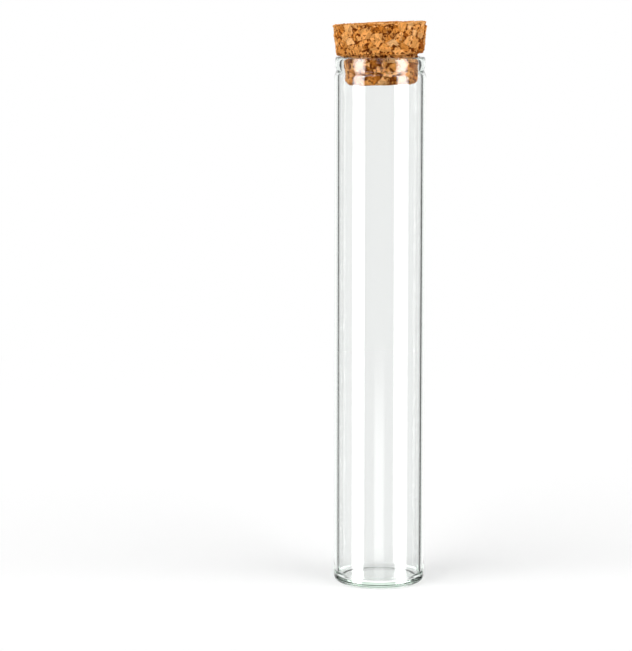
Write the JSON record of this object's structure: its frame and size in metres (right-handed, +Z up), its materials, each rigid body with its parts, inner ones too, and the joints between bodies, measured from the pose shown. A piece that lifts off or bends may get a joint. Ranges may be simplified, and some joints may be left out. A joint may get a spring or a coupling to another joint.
{
  "type": "test tube",
  "caption": "Flat-bottomed clear glass test tube with a beaded rim, closed by a T-shaped agglomerated cork stopper that lifts off.",
  "frame": {"origin": "middle of the flat underside, on the tube's own axis, at the level the tube stands on", "axes": "+Z up along the tube's axis, from the flat bottom to the mouth; +X the side towards which the leaning stopper's plug lies, away from the low side of its head"},
  "size_m": [0.0255, 0.0256, 0.1546],
  "materials": {
    "clear_glass": "gloss",
    "agglomerated_cork": "matte"
  },
  "bodies": {
    "tube": {"glass_tube": "clear_glass"},
    "stopper": {"cork_stopper": "agglomerated_cork"}
  },
  "joints": [
    {"name": "stopper_pull", "type": "slide", "parent": "tube", "child": "stopper", "axis": [0, 0, 1], "range_m": [0, 0.02]}
  ]
}
